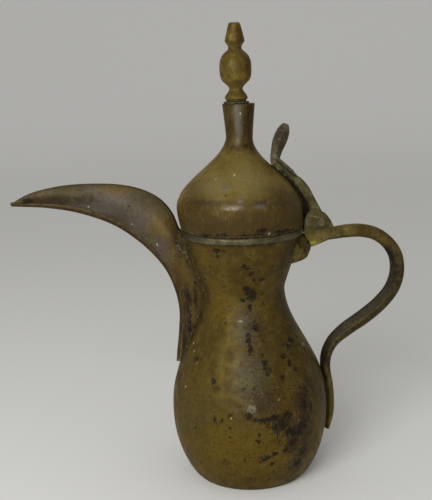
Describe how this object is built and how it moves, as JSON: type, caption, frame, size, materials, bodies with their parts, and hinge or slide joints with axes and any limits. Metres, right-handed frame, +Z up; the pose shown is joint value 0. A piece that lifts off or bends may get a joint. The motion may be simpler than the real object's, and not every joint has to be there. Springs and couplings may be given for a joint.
{
  "type": "dallah coffee pot",
  "caption": "Waisted brass coffee pot with a long open curved beak, a hinged dome lid with a turned finial and thumb lever, and a looped bar handle.",
  "frame": {"origin": "centre of the flat base, on the table", "axes": "+Z up through the lid, +X from the pot's axis towards the handle, beak towards -X"},
  "size_m": [0.2776, 0.1132, 0.322],
  "materials": {
    "aged_brass": "hammered and brown with age",
    "dark_brass": "dark with soot and handling",
    "bright_brass": "cast and worn yellow",
    "coppery_brass": "reddish brazed strip",
    "grey_brass": "rubbed grey-brown"
  },
  "bodies": {
    "pot": {"body_lower": "aged_brass", "body_upper": "aged_brass", "base_disc": "aged_brass", "rim_bead": "grey_brass", "beak_wall_near": "grey_brass", "beak_wall_far": "grey_brass", "beak_keel": "coppery_brass", "hinge_pin": "dark_brass", "hinge_saddle": "bright_brass", "handle": "aged_brass", "tail_rivet_upper": "dark_brass", "tail_rivet_lower": "dark_brass"},
    "lid": {"lid_shell": "aged_brass", "lid_collar": "dark_brass", "neck_cap": "dark_brass", "finial": "bright_brass", "tang_washer": "dark_brass", "lid_strap": "grey_brass", "thumb_lever": "grey_brass", "strap_rivet_lower": "grey_brass", "strap_rivet_upper": "grey_brass"}
  },
  "joints": [
    {"name": "lid_hinge", "type": "hinge", "parent": "pot", "child": "lid", "pos_m": [0.0535, 0, 0.1845], "axis": [0, 1, 0], "range_deg": [0, 100]}
  ]
}
